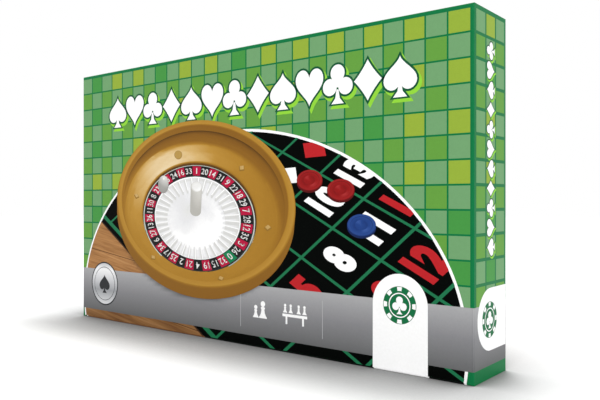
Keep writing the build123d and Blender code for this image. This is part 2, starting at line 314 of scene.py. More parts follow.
dress("axle_pin", turned("turned_steel", "#b9bbbd", "#9a9c9f", 1, 0.28))
dress("thrust_washer", turned("moulded_acetal", "#e6e4dc", "#d6d3c9", 0, 0.4))
dress("bearing_sleeve", turned("turned_brass", "#c9a55a", "#a98640", 1, 0.3))
dress("push_nut", turned("pressed_spring_steel", "#8f9296", "#6f7276", 1, 0.4))


# Rotor. A white ABS moulding, 131 mm across: a plate with 37 pockets between frets, and a
# hollow cone that rises in a sweep to the sleeve it is pressed on.
pockets, pocket_inner, pocket_outer, pocket_floor, seat_height = 37, 34.0, 49.2, 6.4, 10.0
bore = 4.02
sweep = [(pocket_inner, pocket_floor), (30.0, 6.62), (26.0, 6.95), (22.0, 7.5), (18.5, 8.25),
         (15.5, 9.3), (13.0, 10.6), (11.0, 12.1), (9.5, 13.6), (8.4, 15.0), (7.6, 16.0)]


def rotor_profile():
    """Half section of the rotor, from the cone's top over the rim to the sleeve's seat."""
    top = [(bore, 16), *reversed(sweep)] + [(radius, pocket_floor) for radius in (35, 42, 48.8)]
    top += [(pocket_outer, pocket_floor + 0.4), (pocket_outer, seat_height - 0.3)]
    top += [(radius, seat_height) for radius in (49.5, 57, 64.3, 65.4)]
    rim = [(65.8, seat_height - 0.4), (65.8, 8.8), (65.4, 8.4), (50.5, 8.4), (50.5, 4.8)]
    return top + rim + [(17, 4.8), (5.6, 10.4), (bore, 10.4), (bore, 16)]


def evaluated(holder):
    """The mesh that an object comes to; the object itself goes."""
    depsgraph = bpy.context.evaluated_depsgraph_get()
    mesh = bpy.data.meshes.new_from_object(holder.evaluated_get(depsgraph))
    bpy.data.objects.remove(holder)
    return mesh


def made_by(tree_name, inputs, make):
    """The mesh that a tree of geometry nodes makes from its named inputs."""
    tree = bpy.data.node_groups.new(tree_name, "GeometryNodeTree")
    tree.interface.new_socket("Geometry", in_out="OUTPUT", socket_type="NodeSocketGeometry")
    keys = {}
    for name, value in inputs.items():
        kind = "NodeSocketInt" if isinstance(value, int) else "NodeSocketFloat"
        keys[name] = tree.interface.new_socket(name, in_out="INPUT", socket_type=kind).identifier
    put(tree, "NodeGroupOutput", make(tree, put(tree, "NodeGroupInput").outputs))
    holder = linked(tree_name, bpy.data.meshes.new(tree_name))
    modifier = holder.modifiers.new(tree_name, "NODES")
    modifier.node_group = tree
    for name, value in inputs.items():
        modifier[keys[name]] = value
    return evaluated(holder)


def shell_of(mesh, material):
    """Vertices and faces of a made mesh, as a shell."""
    faces = [tuple(face.vertices) for face in mesh.polygons]
    return [tuple(vertex.co) for vertex in mesh.vertices], faces, material


def frets(tree, given):
    """Thin walls that stand round the axis, each from the inner radius outwards."""
    ring = put(tree, "MeshCircle", Vertices=given["Count"],
               Radius=given["Middle radius"])
    size = put(tree, "ShaderNodeCombineXYZ", given["Length"], given["Thickness"], given["Height"])
    fret = put(tree, "MeshCube", Size=size)
    turn = put(tree, "ShaderNodeMath.DIVIDE", 2 * pi, given["Count"])
    number = put(tree, "InputIndex")
    place = put(tree, "ShaderNodeMath.MULTIPLY", number, turn)
    row = put(tree, "InstanceOnPoints", Points=ring, Instance=fret,
              Rotation=put(tree, "ShaderNodeCombineXYZ", Z=place))
    made = put(tree, "RealizeInstances", row)
    rise = put(tree, "ShaderNodeMath.ADD", given["Foot"], given["Half height"])
    rise = put(tree, "ShaderNodeCombineXYZ", Z=rise)
    lifted = put(tree, "SetPosition", made, Offset=rise)
    return put(tree, "SetMaterial", lifted, Material=white_abs)


# Polished mould walls give the eye a clean white gloss, with the faintest cloudiness
white_abs, tree, place = new_material("white_moulded_abs")
cloud, tone = mottled(tree, place, 0.012, "#e8e8e5", "#edede9", Detail=3)
shine = put(tree, "MapRange", cloud, From_Min=0.3, From_Max=0.7, To_Min=0.22, To_Max=0.34)
relief = put(tree, "Bump", Strength=0.05, Distance=0.0003, Height=cloud)
surface(tree, Base_Color=tone, Roughness=shine, Normal=relief)

# Foil pressed hot on the rotor's rim gives the eye a bright silver line, dulled in patches
foil, tree, place = new_material("silver_hot_foil")
wear, tone = mottled(tree, place, 0.004, "#b3b9b4", "#d6dad5", Detail=3)
shine = put(tree, "MapRange", wear, To_Min=0.24, To_Max=0.42)
surface(tree, Base_Color=tone, Metallic=1.0, Roughness=shine)


def foil_rim(mesh, material, shape=(1, 1), edge=64.2, level=0.3):
    """Gives the rotor's rim, outside the number ring's edge and level, its own material."""
    mesh.materials.append(material)
    for face in mesh.polygons:
        radius = hypot(face.center.x / shape[0], face.center.y / shape[1])
        if radius > edge and face.normal.z > level:
            face.material_index = len(mesh.materials) - 1


fret_mesh = made_by("pocket_frets", {
    "Count": pockets, "Middle radius": 41.8, "Length": 15.0, "Thickness": 1.0, "Height": 3.4,
    "Foot": 6.2, "Half height": 1.7,
}, frets)
rotor_turned = spun(rotor_profile(), 5 * pockets)
rotor_mesh = mesh_of("rotor", [(*rotor_turned, white_abs), shell_of(fret_mesh, white_abs)])
foil_rim(rotor_mesh, foil)
rotor = fit("moulded_rotor", rotor_mesh, "rotor", "white_plastic", "rotor", move=seated)
edge = rotor.modifiers.new("fret edges", "BEVEL")
edge.width, edge.segments, edge.limit_method, edge.angle_limit = 0.00018, 2, "ANGLE", radians(60)


# Number ring. Coated card, die cut and glued on the rotor's shoulder, printed with 37
# cells in red, black and one green, and white numbers that are read from outside.
ring_inner, ring_outer, ring_top = 50.5, 64.1, 10.5
order = [0, 32, 15, 19, 4, 21, 2, 25, 17, 34, 6, 27, 13, 36, 11, 30, 8, 23, 10, 5, 24, 16, 33, 1,
         20, 14, 31, 9, 22, 18, 29, 7, 28, 12, 35, 3, 26]
red_numbers = (1, 3, 5, 7, 9, 12, 14, 16, 18, 19, 21, 23, 25, 27, 30, 32, 34, 36)


def ink(name, code, gloss=0.42, reflection=0.1):
    """Offset ink under a thin dispersion varnish: an even colour, mottled a little by the
    card's fibres, with a satin sheen that breaks up over a millimetre or so."""
    material, tree, place = new_material(name)
    mottle, tone = mottled(tree, place, 0.0016, "#f1f1f1", "#ffffff", Detail=3)
    code = code(tree) if callable(code) else code
    colour = put(tree, "Mix", data_type="RGBA", blend_type="MULTIPLY", Factor=0.3, A=code, B=tone)
    shine = put(tree, "MapRange", mottle, From_Min=0.3, From_Max=0.7, To_Min=gloss,
                To_Max=gloss + 0.1)
    relief = put(tree, "Bump", Strength=0.05, Distance=0.00004, Height=mottle)
    surface(tree, Base_Color=colour, Roughness=shine, Specular_IOR_Level=reflection, Normal=relief)
    return material


ring_card = ink("white_coated_card", "#e2e2de", 0.5)
ring_red, ring_black = ink("ring_red", "#b3123c"), ink("ring_black", "#161616")
ring_green, number_white = ink("ring_green", "#0f7d4e"), ink("number_white", "#ececea")
number_shapes = {}


def number_shape(text, bold=0.02, fineness=3):
    """Flat triangles of a number about one unit high, centred, in a plain heavy face."""
    if (text, bold) not in number_shapes:
        curve = bpy.data.curves.new("number", "FONT")
        curve.body, curve.size, curve.align_x, curve.align_y = text, 1.35, "CENTER", "CENTER"
        curve.offset, curve.resolution_u, curve.space_character = bold, fineness, 1.06
        mesh = evaluated(linked("number", curve))
        mesh.calc_loop_triangles()
        ways = list(zip(*(vertex.co for vertex in mesh.vertices)))
        mid_x, mid_y = ((min(way) + max(way)) / 2 for way in ways[:2])
        points = [(vertex.co.x - mid_x, vertex.co.y - mid_y) for vertex in mesh.vertices]
        number_shapes[text, bold] = [[points[at] for at in face.vertices]
                                     for face in mesh.loop_triangles]
    return number_shapes[text, bold]


def ring_cells(first=-46, lift=0.03):
    """The printed cells and their numbers, with the zero's middle at an angle from the right."""
    cells, numbers = [], []
    turn = 2 * pi / pockets
    for place, number in enumerate(order):
        middle = radians(first) - place * turn
        paint = ring_red if number in red_numbers else ring_black if number else ring_green
        turns = [middle + turn * (step / 4 - 0.5) * 0.97 for step in range(5)]
        verts = [(r * cos(a), r * sin(a), ring_top + lift)
                 for r in (ring_inner + 0.9, ring_outer - 0.9) for a in turns]
        cells.append((verts, [(at, at + 5, at + 6, at + 1) for at in range(4)], paint))
        out, along = Vector((cos(middle), sin(middle))), Vector((sin(middle), -cos(middle)))
        wide, tall, number_radius = 6.0 if number > 9 else 6.6, 7.6, 57.3
        for corners in number_shape(str(number)):
            flat = [out * (number_radius + y * tall) + along * x * wide for x, y in corners]
            flat = [(p.x, p.y, ring_top + lift * 2) for p in flat]
            numbers.append((flat, [(0, 1, 2)], number_white))
    return cells + numbers


ring_half = [(ring_inner, 10.02), (ring_inner, 10.42), (50.6, ring_top), (57, ring_top),
             (64.0, ring_top), (ring_outer, 10.42), (ring_outer, 10.02), (ring_inner, 10.02)]
ring_mesh = mesh_of("ring", [(*spun(ring_half, 5 * pockets), ring_card)])
fit("card_number_ring", ring_mesh, "rotor", "ring_card", "number_ring", move=seated)
ring_print = ring_cells()
print_mesh = mesh_of("cells", ring_print, closed=False)
fit("printed_numbers", print_mesh, "rotor", "ring_card", move=seated)


# Turret. The post that is gripped to spin the rotor: white ABS, turned smooth, pushed on
# the sleeve over the push nut.
def turret_profile(foot=16.05, top=44.0):
    """Outer half section of the post, from its foot to the middle of its rounded top."""
    side = [(bore, foot), (5.5, foot), (5.8, foot + 0.3), (5.8, top - 8)]
    return side + arc((4.6, top - 1.2), 1.2, 0, 90, 5) + [(2, top), (0, top)]


turret = spun(turret_profile() + [(0, 32.6), (bore, 32.6), (bore, 16.05)], 64)
turret_mesh = mesh_of("turret", [(*turret, white_abs)])
fit("grip_post", turret_mesh, "rotor", "turret_plastic", "turret", move=seated)


# Ball. A 10 mm ball of white acetal, tumbled to a polish; it lies loose at the lowest
# place of the bowl's track.
# Tumbled acetal gives the eye an even, slightly translucent white with a bright highlight
acetal, tree, place = new_material("polished_acetal")
cloud, tone = mottled(tree, place, 0.003, "#e9e9e4", "#f1f1ec", Detail=2)
relief = put(tree, "Bump", Strength=0.03, Distance=0.0002, Height=cloud)
surface(tree, Base_Color=tone, Roughness=0.16, Subsurface_Weight=0.1,
        Subsurface_Radius=(0.002, 0.002, 0.0016), Normal=relief)
ball_low, ball_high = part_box("ball")
ball_middle, ball_radius = (ball_low + ball_high) / 2, (ball_high - ball_low).z / 2
belt = [(cos(a), sin(a)) for a in (radians(d) for d in range(-84, 85, 6))]
globe = spun([(0, -1), *belt, (0, 1)], 60)
fit("acetal_ball", mesh_of("ball", [(*globe, acetal)]), "ball", "ball_plastic", "ball",
    move=lambda point: ball_middle + point * ball_radius)


# Betting mat. One sheet of black felted cloth, 640 x 390 mm, printed with a green grid and
# folded three times across and twice down; it lies in its well, folds round at two sides.
mat_low, mat_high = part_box("betting_mat")
mat_wide, mat_tall, panels_across, panels_down = 0.160, 0.130, 4, 3
# A layer's step, the height of the four folded layers' middles, and a step of the next folds
layer = 0.00052
bundle = 3 * layer
pack = bundle + layer


def fold_steps(length, panels, flat_steps, bend_steps, turn):
    """Distances along the strip that follow its flats and its bends."""
    reach = turn * pi / 4
    marks = {0.0, length * panels}
    for panel in range(panels):
        start = panel * length + (reach if panel else 0)
        end = (panel + 1) * length - (reach if panel < panels - 1 else 0)
        marks |= {start + (end - start) * step / flat_steps for step in range(flat_steps + 1)}
    for seam in range(1, panels):
        marks |= {seam * length + reach * (step / bend_steps)
                  for step in range(-bend_steps, bend_steps + 1)}
    return sorted(marks)


def zigzag(along, length, panels, rise):
    """Folded place of a point of a strip: how far over from the first fold's side and how high,
    then its panel's way up and how far it is turned in a bend, in radians."""
    panel = min(int(along / length), panels - 1)
    way = along - panel * length
    radius = rise / 2
    bend = radius * pi / 2
    over, height, lean = way, panel * rise, 0.0
    if panel < panels - 1 and way > length - bend:
        turn = (way - (length - bend)) / radius
        over, height = length - bend + radius * sin(turn), height + radius * (1 - cos(turn))
        lean = -turn
    elif panel > 0 and way < bend:
        turn = (bend - way) / radius
        over, height = bend - radius * sin(turn), height - radius * (1 - cos(turn))
        lean = turn
    side = -1 if panel % 2 else 1
    return over if side > 0 else length - over, height, side, lean


across_marks = fold_steps(mat_wide, panels_across, 6, 4, layer)
down_marks = fold_steps(mat_tall, panels_down, 8, 5, pack)
mat_points, mat_places = [], []
side_room, end_room = 0.0004, 0.0022
for down in down_marks:
    z, level, side, lean = zigzag(down, mat_tall, panels_down, pack)
    for over in across_marks:
        x, rise, _, _ = zigzag(over, mat_wide, panels_across, layer)
        # The strip of four layers is folded twice: one nearer the fold's inside turns tighter
        depth = rise - bundle / 2
        mat_places.append((over, down))
        mat_points.append((
            mat_low.x + side_room + x * (mat_wide - 2 * side_room) / mat_wide,
            mat_high.y - side_room - (bundle / 2 + level + side * depth * cos(lean)),
            mat_low.z + end_room + z * (mat_tall - 2 * end_room) / mat_tall
            + sin(lean) * depth * side,
        ))
width = len(across_marks)
mat_faces = [(at, at + 1, at + width + 1, at + width) for row in range(len(down_marks) - 1)
             for at in range(row * width, row * width + width - 1)]

# Short nap gives the eye a soft black with a sheen at its edges; the printed grid follows
# the cloth's own map, 40 mm from line to line, 1.4 mm thick
cell, half_line = 0.040, 0.018
felt, tree, place = new_material("printed_black_felt")
nap, cloth_tone = mottled(tree, place, 0.0007, "#0a0b0a", "#151615", Detail=3)
print_map = put(tree, "UVMap", uv_map="cut").outputs["UV"]
in_cells = put(tree, "VectorMath.MULTIPLY", print_map, (1 / cell, 1 / cell, 1))
parts = put(tree, "SeparateXYZ", in_cells).outputs
lines = []
for side, shift in (("X", 0.5), ("Y", 0.875)):
    way = put(tree, "Math.ADD", parts[side], shift)
    spot = put(tree, "Math.SUBTRACT", put(tree, "Math.FRACT", way), 0.5)
    spot = put(tree, "Math.ABSOLUTE", spot)
    lines.append(put(tree, "Math.LESS_THAN", spot, half_line))
grid = put(tree, "Math.MAXIMUM", *lines)
colour = put(tree, "Mix", data_type="RGBA", Factor=grid, A=cloth_tone, B="#1f7a50")
relief = put(tree, "Bump", Strength=0.5, Distance=0.0002, Height=nap)
surface(tree, Base_Color=colour, Roughness=0.95, Sheen_Weight=0.12, Specular_IOR_Level=0.2,
        Normal=relief)
mat_mesh = mesh_of("mat", [(mat_points, mat_faces, felt)], crease=80, closed=False)
layer_map = mat_mesh.uv_layers.new(name="cut")
for loop in mat_mesh.loops:
    layer_map.data[loop.index].uv = mat_places[loop.vertex_index]
mat = fit("folded_betting_cloth", mat_mesh, "base", "mat_cloth", "betting_mat")
thick = mat.modifiers.new("cloth", "SOLIDIFY")
thick.thickness, thick.offset = 0.00030, 0
# Numbers of the layout's first twelve cells, printed on the side that lies on top
felt_white = ink("felt_print_white", "#dcdcd8", 0.8)
felt_red = ink("felt_print_red", "#b01d26", 0.8)
top_y = min(vertex.co.y for vertex in mat.data.vertices) - 0.00018
number_shells = []
for number in range(1, 13):
    column, row = divmod(number - 1, 3)
    middle = mat_low.x + 0.020 + cell * column, mat_low.z + 0.025 + cell * row
    paint = felt_red if number in red_numbers else felt_white
    for corners in number_shape(str(number), 0.045, 8):
        points = [(middle[0] + x * 0.021, top_y, middle[1] + y * 0.024) for x, y in corners]
        number_shells.append((points, [(0, 1, 2)], paint))
mat_numbers = mesh_of("mat_numbers", number_shells, closed=False)
if mat_numbers.polygons[0].normal.y > 0:
    mat_numbers.flip_normals()
fit("printed_mat_numbers", mat_numbers, "base", "mat_cloth")


# Chips. Pressed polystyrene counters, 22 mm across, with a raised rim and a milled edge;
# they stand in stacks of five in the formed tray's troughs.
chip_half = [(0, 0.25), (8.2, 0.25), (8.6, 0), (10.6, 0), (11, 0.35), (11, 2.05), (10.6, 2.4),
             (8.6, 2.4), (8.2, 2.15), (5.4, 2.15), (5.1, 2.3), (4.6, 2.3), (4.3, 2.15), (0, 2.15)]
chip_steps, chip_edge, mill = 72, 10.9, 0.016
chip_shape = spun(chip_half, chip_steps)


def stacks(tree, given):
    """Chips one on the other, by the stack's count and step, each turned a little by chance."""
    step = put(tree, "ShaderNodeCombineXYZ", Z=given["Step"])
    row = put(tree, "MeshLine", Count=given["Count"], Offset=step)
    chip = put(tree, "ObjectInfo", Object=chip_holder)
    turn = put(tree, "FunctionNodeRandomValue", data_type="FLOAT", Min=0.0, Max=0.17, Seed=7)
    pile = put(tree, "InstanceOnPoints", Points=row, Instance=chip.outputs["Geometry"],
               Rotation=put(tree, "ShaderNodeCombineXYZ", Z=turn.outputs[1]))
    made = put(tree, "RealizeInstances", pile)
    return put(tree, "SetMaterial", made, Material=chip_plastic)


def milled(x, y, z):
    """Draws in every other column of the points on the chip's edge."""
    column = round(atan2(y, x) / (2 * pi) * chip_steps)
    keep = 1 - mill * (hypot(x, y) > chip_edge and column % 2)
    return x * keep, y * keep, z


verts, faces = chip_shape
milled_chip = mesh_of("chip", [([milled(*point) for point in verts], faces, None)], crease=28)
chip_holder = bpy.data.objects.new("chip", milled_chip)
for name, dark, pale in (("red", "#b31622", "#c4212c"), ("blue", "#1b3f9c", "#264fb2"),
                         ("yellow", "#d8a520", "#e6b532")):
    # Pressed polystyrene gives the eye a clear even colour with a hard gloss
    chip_plastic, tree, place = new_material(f"{name}_polystyrene")
    cloud, tone = mottled(tree, place, 0.006, dark, pale, Detail=3)
    relief = put(tree, "Bump", Strength=0.06, Distance=0.0002, Height=cloud)
    surface(tree, Base_Color=tone, Roughness=0.3, Normal=relief)
    low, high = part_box(f"{name}_chips")
    shells = []
    for middle_x in (low.x + 0.011, high.x - 0.011):
        verts, faces, _ = shell_of(made_by("chip_stack", {"Count": 5, "Step": 2.45}, stacks), None)
        spot = Vector((middle_x, (low.y + high.y) / 2, low.z))
        shells.append(([spot + Vector(v) / 1000 for v in verts], faces, chip_plastic))
    chips = mesh_of(f"{name}_counters", shells, crease=28)
    fit(f"{name}_counters", chips, "base", f"{name}_plastic", f"{name}_chips")
bpy.data.objects.remove(chip_holder)


# Lid. Grey board, 1.5 mm thick, with a printed and varnished sheet laminated on its outside;
# creased, folded down on four sides to the box's full depth and glued at its corners.
lid_low, lid_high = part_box("lid")
lid_wide, lid_deep, lid_tall = (1000 * side for side in lid_high - lid_low)
fold = 0.9
print_reach, side_end = lid_wide / 2 - fold, lid_deep - 0.6
band_low, band_high = 8.25, 46.75


def by_height(tree, low, high, *stops):
    """Height on the box, in metres, and a tone that follows it from low to high, in mm."""
    height = put(tree, "SeparateXYZ", put(tree, "TexCoord").outputs["Object"]).outputs["Z"]
    rise = put(tree, "MapRange", height, From_Min=low / 1000, From_Max=high / 1000)
    return height, put(tree, "ValToRGB", rise, stops=stops)


def band_tone(tree):
    """Height on the box, and the band's grey, which pales upwards."""
    return by_height(tree, band_low, band_high, (0, "#666768"), (0.5, "#858588"), (1, "#a8a8aa"))


# The laminated sheet gives the eye an even dark green with a satin varnish, and the grey
# band goes round the folds; inside and along the rim shows the warm grey of bare pulp
board, tree, place = new_material("printed_lid_board")
sides = put(tree, "SeparateXYZ", place).outputs
height, grey = band_tone(tree)
from_middle = put(tree, "Math.SUBTRACT", height, lid_tall / 2000)
from_middle = put(tree, "Math.ABSOLUTE", from_middle)
from_axis = put(tree, "Math.ABSOLUTE", sides["X"])
skin, fold_depth = 0.0006, 0.0011
outside = put(tree, "Math.GREATER_THAN", from_axis, lid_high.x - skin)
for way, edge, kind in ((sides["Y"], lid_low.y + skin, "LESS_THAN"),
                        (from_middle, lid_tall / 2000 - skin, "GREATER_THAN")):
    beyond = put(tree, "Math", way, edge, operation=kind)
    outside = put(tree, "Math.MAXIMUM", outside, beyond)
above = put(tree, "Math.GREATER_THAN", height, band_low / 1000)
under = put(tree, "Math.LESS_THAN", height, band_high / 1000)
in_band = put(tree, "Math.MULTIPLY", above, under)
pulp, bare = mottled(tree, place, 0.005, "#a59d90", "#b1a99c", Detail=4, Roughness=0.6)
green = put(tree, "ValToRGB", pulp, stops=((0.2, "#036f3d"), (0.8, "#05733f")))
# The front's print goes round its lower fold: tile, outline, wood, cloth and tab in turn
across_box = put(tree, "MapRange", sides["X"], From_Min=-0.2, From_Max=0.2)
foot_print = put(tree, "ValToRGB", across_box, stops=(
    (0, "#05733f"), (0.013, "#f4f4f4"), (0.0178, "#7b5230"), (0.42, "#060807"),
    (0.8225, "#f4f4f4"), (0.9238, "#060807"), (0.9822, "#f4f4f4"), (0.987, "#05733f")))
foot_print.color_ramp.interpolation = "CONSTANT"
at_foot = put(tree, "Math.LESS_THAN", height, fold_depth)
in_front = put(tree, "Math.LESS_THAN", sides["Y"], lid_low.y + fold_depth)
at_fold = put(tree, "Math.MULTIPLY", at_foot, in_front)
wrapped = put(tree, "Mix", at_fold, data_type="RGBA", A=green, B=foot_print)
sheet_tone = put(tree, "Mix", data_type="RGBA", Factor=in_band, A=wrapped, B=grey)
colour = put(tree, "Mix", data_type="RGBA", Factor=outside, A=bare, B=sheet_tone)
shine = put(tree, "MapRange", outside, To_Min=0.92, To_Max=0.45)
fibre = put(tree, "TexNoise", place, Scale=1 / 0.0016, Detail=3)
relief = put(tree, "Bump", Strength=0.12, Distance=0.00004, Height=fibre)
surface(tree, Base_Color=colour, Roughness=shine, Specular_IOR_Level=0.1, Normal=relief)
dress("lid", board)


# Tile print. The sheet is printed all over with rows of square tiles with dark lines between
# them: grey green in turn with grass green on one row, and with green or lime on the next.
across, back, up = Vector((1, 0, 0)), Vector((0, 1, 0)), Vector((0, 0, 1))
faces_of_lid = {
    "front": (Vector((0, lid_low.y, 0)), across, up, -back),
    "right": (Vector((lid_high.x, lid_low.y, 0)), back, up, across),
    "left": (Vector((lid_low.x, lid_low.y, 0)), back, up, -across),
    "top": (Vector((0, lid_low.y, lid_high.z)), across, back, up),
    "bottom": (Vector((0, lid_low.y, 0)), across, back, -up),
}


def printed(wall, name, mesh, lift=0.0):
    """Lays a flat mesh, in mm, on a wall of the lid, its faces outwards, as a printed layer."""
    start, over, along, out = faces_of_lid[wall]
    for vertex in mesh.vertices:
        x, y, z = vertex.co
        vertex.co = start + (over * x + along * y + out * (z + lift)) / 1000
    mesh.update()
    if sum(face.normal.dot(out) for face in mesh.polygons) < 0:
        mesh.flip_normals()
    fit(name, mesh, "lid", "printed_board")


def print_on(wall, name, shells, lift):
    """Prints one layer of flat shells, in mm, each of points, faces and an ink."""
    printed(wall, name, mesh_of(name, shells, closed=False), lift)


def stored_ink(name, attribute, *stops):
    """An ink whose tone follows a value that is stored on the mesh."""
    return ink(name, lambda tree: put(
        tree, "ValToRGB", put(tree, "Attribute", attribute_name=attribute).outputs["Fac"],
        stops=stops))


def tile_rows(tree, given):
    """Square tiles on a grid, each with a tone from its row, its column and chance."""
    grid = put(tree, "MeshGrid", Size_X=given["Length"], Size_Y=given["Height"],
               Vertices_X=given["Columns"], Vertices_Y=given["Rows"])
    tile = put(tree, "MeshGrid", Size_X=given["Tile"], Size_Y=given["Tile"],
               Vertices_X=2, Vertices_Y=2)
    number = put(tree, "InputIndex")
    row = put(tree, "ShaderNodeMath.MODULO", number, given["Rows"])
    column = put(tree, "ShaderNodeMath.DIVIDE", number, given["Rows"])
    column = put(tree, "ShaderNodeMath.FLOOR", column)
    place = put(tree, "ShaderNodeMath.ADD", row, column)
    other = put(tree, "ShaderNodeMath.MODULO", place, 2.0)
    grass_row = put(tree, "ShaderNodeMath.MODULO", row, 2.0)
    lime_row = put(tree, "ShaderNodeMath.SUBTRACT", 1.0, grass_row)
    chance = put(tree, "FunctionNodeRandomValue", data_type="INT", Min=2, Max=3, Seed=given["Seed"])
    spread = put(tree, "ShaderNodeMath.MULTIPLY", chance, lime_row)
    spread = put(tree, "ShaderNodeMath.ADD", spread, grass_row)
    tone = put(tree, "ShaderNodeMath.MULTIPLY", other, spread)
    tone = put(tree, "ShaderNodeMath.DIVIDE", tone, 3.0)
    laid = put(tree, "InstanceOnPoints", Points=grid, Instance=tile)
    toned = put(tree, "StoreNamedAttribute", laid, data_type="FLOAT",
                domain="INSTANCE", Name="tone", Value=tone)
    made = put(tree, "RealizeInstances", toned)
    return put(tree, "SetMaterial", made, Material=tile_ink)


# Four flat greens under the varnish
tile_ink = stored_ink("varnished_tile_print", "tone", (0, "#6f9f6d"), (1 / 3, "#629b3e"),
                      (2 / 3, "#439242"), (1, "#92ac39"))
tile_step, first_column, top_line, top_strip = 15.33, -192.67, 228.25, 2.9
side_step, side_first, side_tile = 15.1, 10.0, 13.3
for wall, columns, rows, tile, seed in (
        ("front", 26, 15, 14.13, 3), ("right", 3, 15, side_tile, 5), ("left", 3, 15, side_tile, 8),
        ("top", 26, 3, side_tile, 6), ("bottom", 26, 3, side_tile, 11)):
    wide, high = columns > 3, rows > 3
    length = (columns - 1) * (tile_step if wide else side_step)
    height = (rows - 1) * (tile_step if high else side_step)
    mesh = made_by("tile_rows", {"Columns": columns, "Rows": rows, "Length": length,
                                 "Height": height, "Tile": tile, "Seed": seed}, tile_rows)
    middle_x = (first_column if wide else side_first) + length / 2
    middle_z = top_line - tile_step / 2 - height / 2 if high else side_first + height / 2
    left, right = (-print_reach, print_reach) if wide else (fold, side_end)
    foot = band_low if high else fold
    for vertex in mesh.vertices:
        x, y = vertex.co.x + middle_x, vertex.co.y + middle_z
        vertex.co = min(max(x, left), right), min(max(y, foot), lid_tall - top_strip), 0
    printed(wall, f"tile_print_{wall}", mesh, 0.03)


# Picture panel. The tiles leave room for a picture under a low arch with a white outline: a
# black betting cloth with green lines and large numbers, on a wooden table.
arch_x, arch_z, arch_wide, arch_tall = -0.6, 19.7, 197.5, 146.9


def arch(inset, steps=120):
    """Outline of the panel, anticlockwise from its lower right corner."""
    start = -atan2(arch_z - fold, sqrt(arch_tall ** 2 - (arch_z - fold) ** 2))
    turns = [start + (pi - 2 * start) * step / steps for step in range(steps + 1)]
    return [(arch_x + (arch_wide - inset) * cos(turn), arch_z + (arch_tall - inset) * sin(turn))
            for turn in turns]


def clipped(outline, fence):
    """The part of an outline inside a convex, anticlockwise fence."""
    for (x0, z0), (x1, z1) in zip(fence, fence[1:] + fence[:1]):
        side = [(x1 - x0) * (z - z0) - (z1 - z0) * (x - x0) for x, z in outline]
        kept = []
        for at, (x, z) in enumerate(outline):
            (xb, zb), s0, s1 = outline[at - 1], side[at - 1], side[at]
            if (s0 >= 0) != (s1 >= 0):
                share = s0 / (s0 - s1)
                kept.append((xb + (x - xb) * share, zb + (z - zb) * share))
            if s1 >= 0:
                kept.append((x, z))
        outline = kept
        if len(outline) < 3:
            return []
    return outline


def one_face(outline, colour, rise=0.0):
    """A flat face; those of one layer that overlap lie a few thousandths of a mm apart."""
    return [(x, z, rise) for x, z in outline], [tuple(range(len(outline)))], colour


def oblong(x0, z0, x1, z1):
    return [(x0, z0), (x1, z0), (x1, z1), (x0, z1)]


# Where the cloth's rows and columns start in the panel, a cell's step along each of them, and
# how much the perspective narrows it
cloth_x, cloth_z, narrowing = 96, 92, 0.0016
row_step, column_step = (26.5, 21.0), (38.0, -19.5)


def on_cloth(i, j):
    """Where a point of the cloth, in cells, shows in the panel, seen in mild perspective."""
    over, rise = (row_step[k] * i + column_step[k] * j for k in (0, 1))
    near = 1 + narrowing * rise
    return cloth_x + over / near, cloth_z + rise / near


def strip(i0, j0, i1, j1):
    """An oblong of the cloth, in cells, as far as it lies inside the arch."""
    return clipped([on_cloth(i0, j0), on_cloth(i0, j1), on_cloth(i1, j1), on_cloth(i1, j0)], fence)


fence = arch(1.8)
cloth_ink = ink("print_black", "#040605", reflection=0.015)
line_ink = ink("print_line_green", "#1a7149")
white_ink, red_ink = ink("print_white", "#fcfcfc"), ink("print_red", "#ba1f25")
rim = arch(0), arch(2.0)
steps = len(rim[0])
rim_faces = [(at, at + 1, at + 1 + steps, at + steps) for at in range(steps - 1)]
print_on("front", "panel_cloth", [one_face(fence, cloth_ink)], 0.05)
print_on("front", "panel_outline", [(rim[0] + rim[1], rim_faces, white_ink)], 0.075)
cloth_edge = -3.95
first_line, edge_half, row_half, column_half = cloth_edge + 0.16, 0.05, 0.03, 0.026
lines = [one_face(strip(at + half, -7, at - half, 6), line_ink)
         for at, half in [(first_line, edge_half)] + [(row, row_half) for row in range(-3, 5)]]
lines += [one_face(strip(5, at - column_half, first_line, at + column_half), line_ink, 0.006)
          for at in range(-6, 7)]
print_on("front", "panel_lines", lines, 0.085)
numbers = []
for number, i, j in ((10, 0, -1), (13, 1, -1), (16, 2, -1), (11, 0, 0), (14, 1, 0), (17, 2, 0),
                     (12, 0, 1), (15, 1, 1), (8, -1, 0), (9, -1, 1), (5, -2, 0), (6, -2, 1)):
    paint = red_ink if number in red_numbers else white_ink
    for corners in number_shape(str(number), 0.085, 6):
        flat = [on_cloth(i + 0.5 + x * 0.52, j + 0.5 - y * 0.56) for x, y in corners]
        numbers.append(one_face(clipped(flat, fence), paint))
for i, j, paint in ((1, -2, red_ink), (0, -2, white_ink), (-3, -5, white_ink)):
    sign = [on_cloth(i + 0.5 + 0.32 * a, j + 0.5 + 0.3 * b)
            for a, b in ((1, 0), (0, 1), (-1, 0), (0, -1))]
    numbers.append(one_face(clipped(sign, fence), paint))
print_on("front", "panel_numbers", numbers, 0.105)


def shade_under_wheel(x, z, middle=(-39.5, 106.5), reach=(105.5, 73.5), mean=90, soft=6, most=0.75):
    """How dark the pictured wheel's shadow is at a point of the panel: it fills an ellipse, and
    fades over a soft edge, in mm."""
    beyond = (hypot((x - middle[0]) / reach[0], (z - middle[1]) / reach[1]) - 1) * mean
    share = min(max(1 - beyond / soft, 0), 1)
    return share * share * (3 - 2 * share) * most


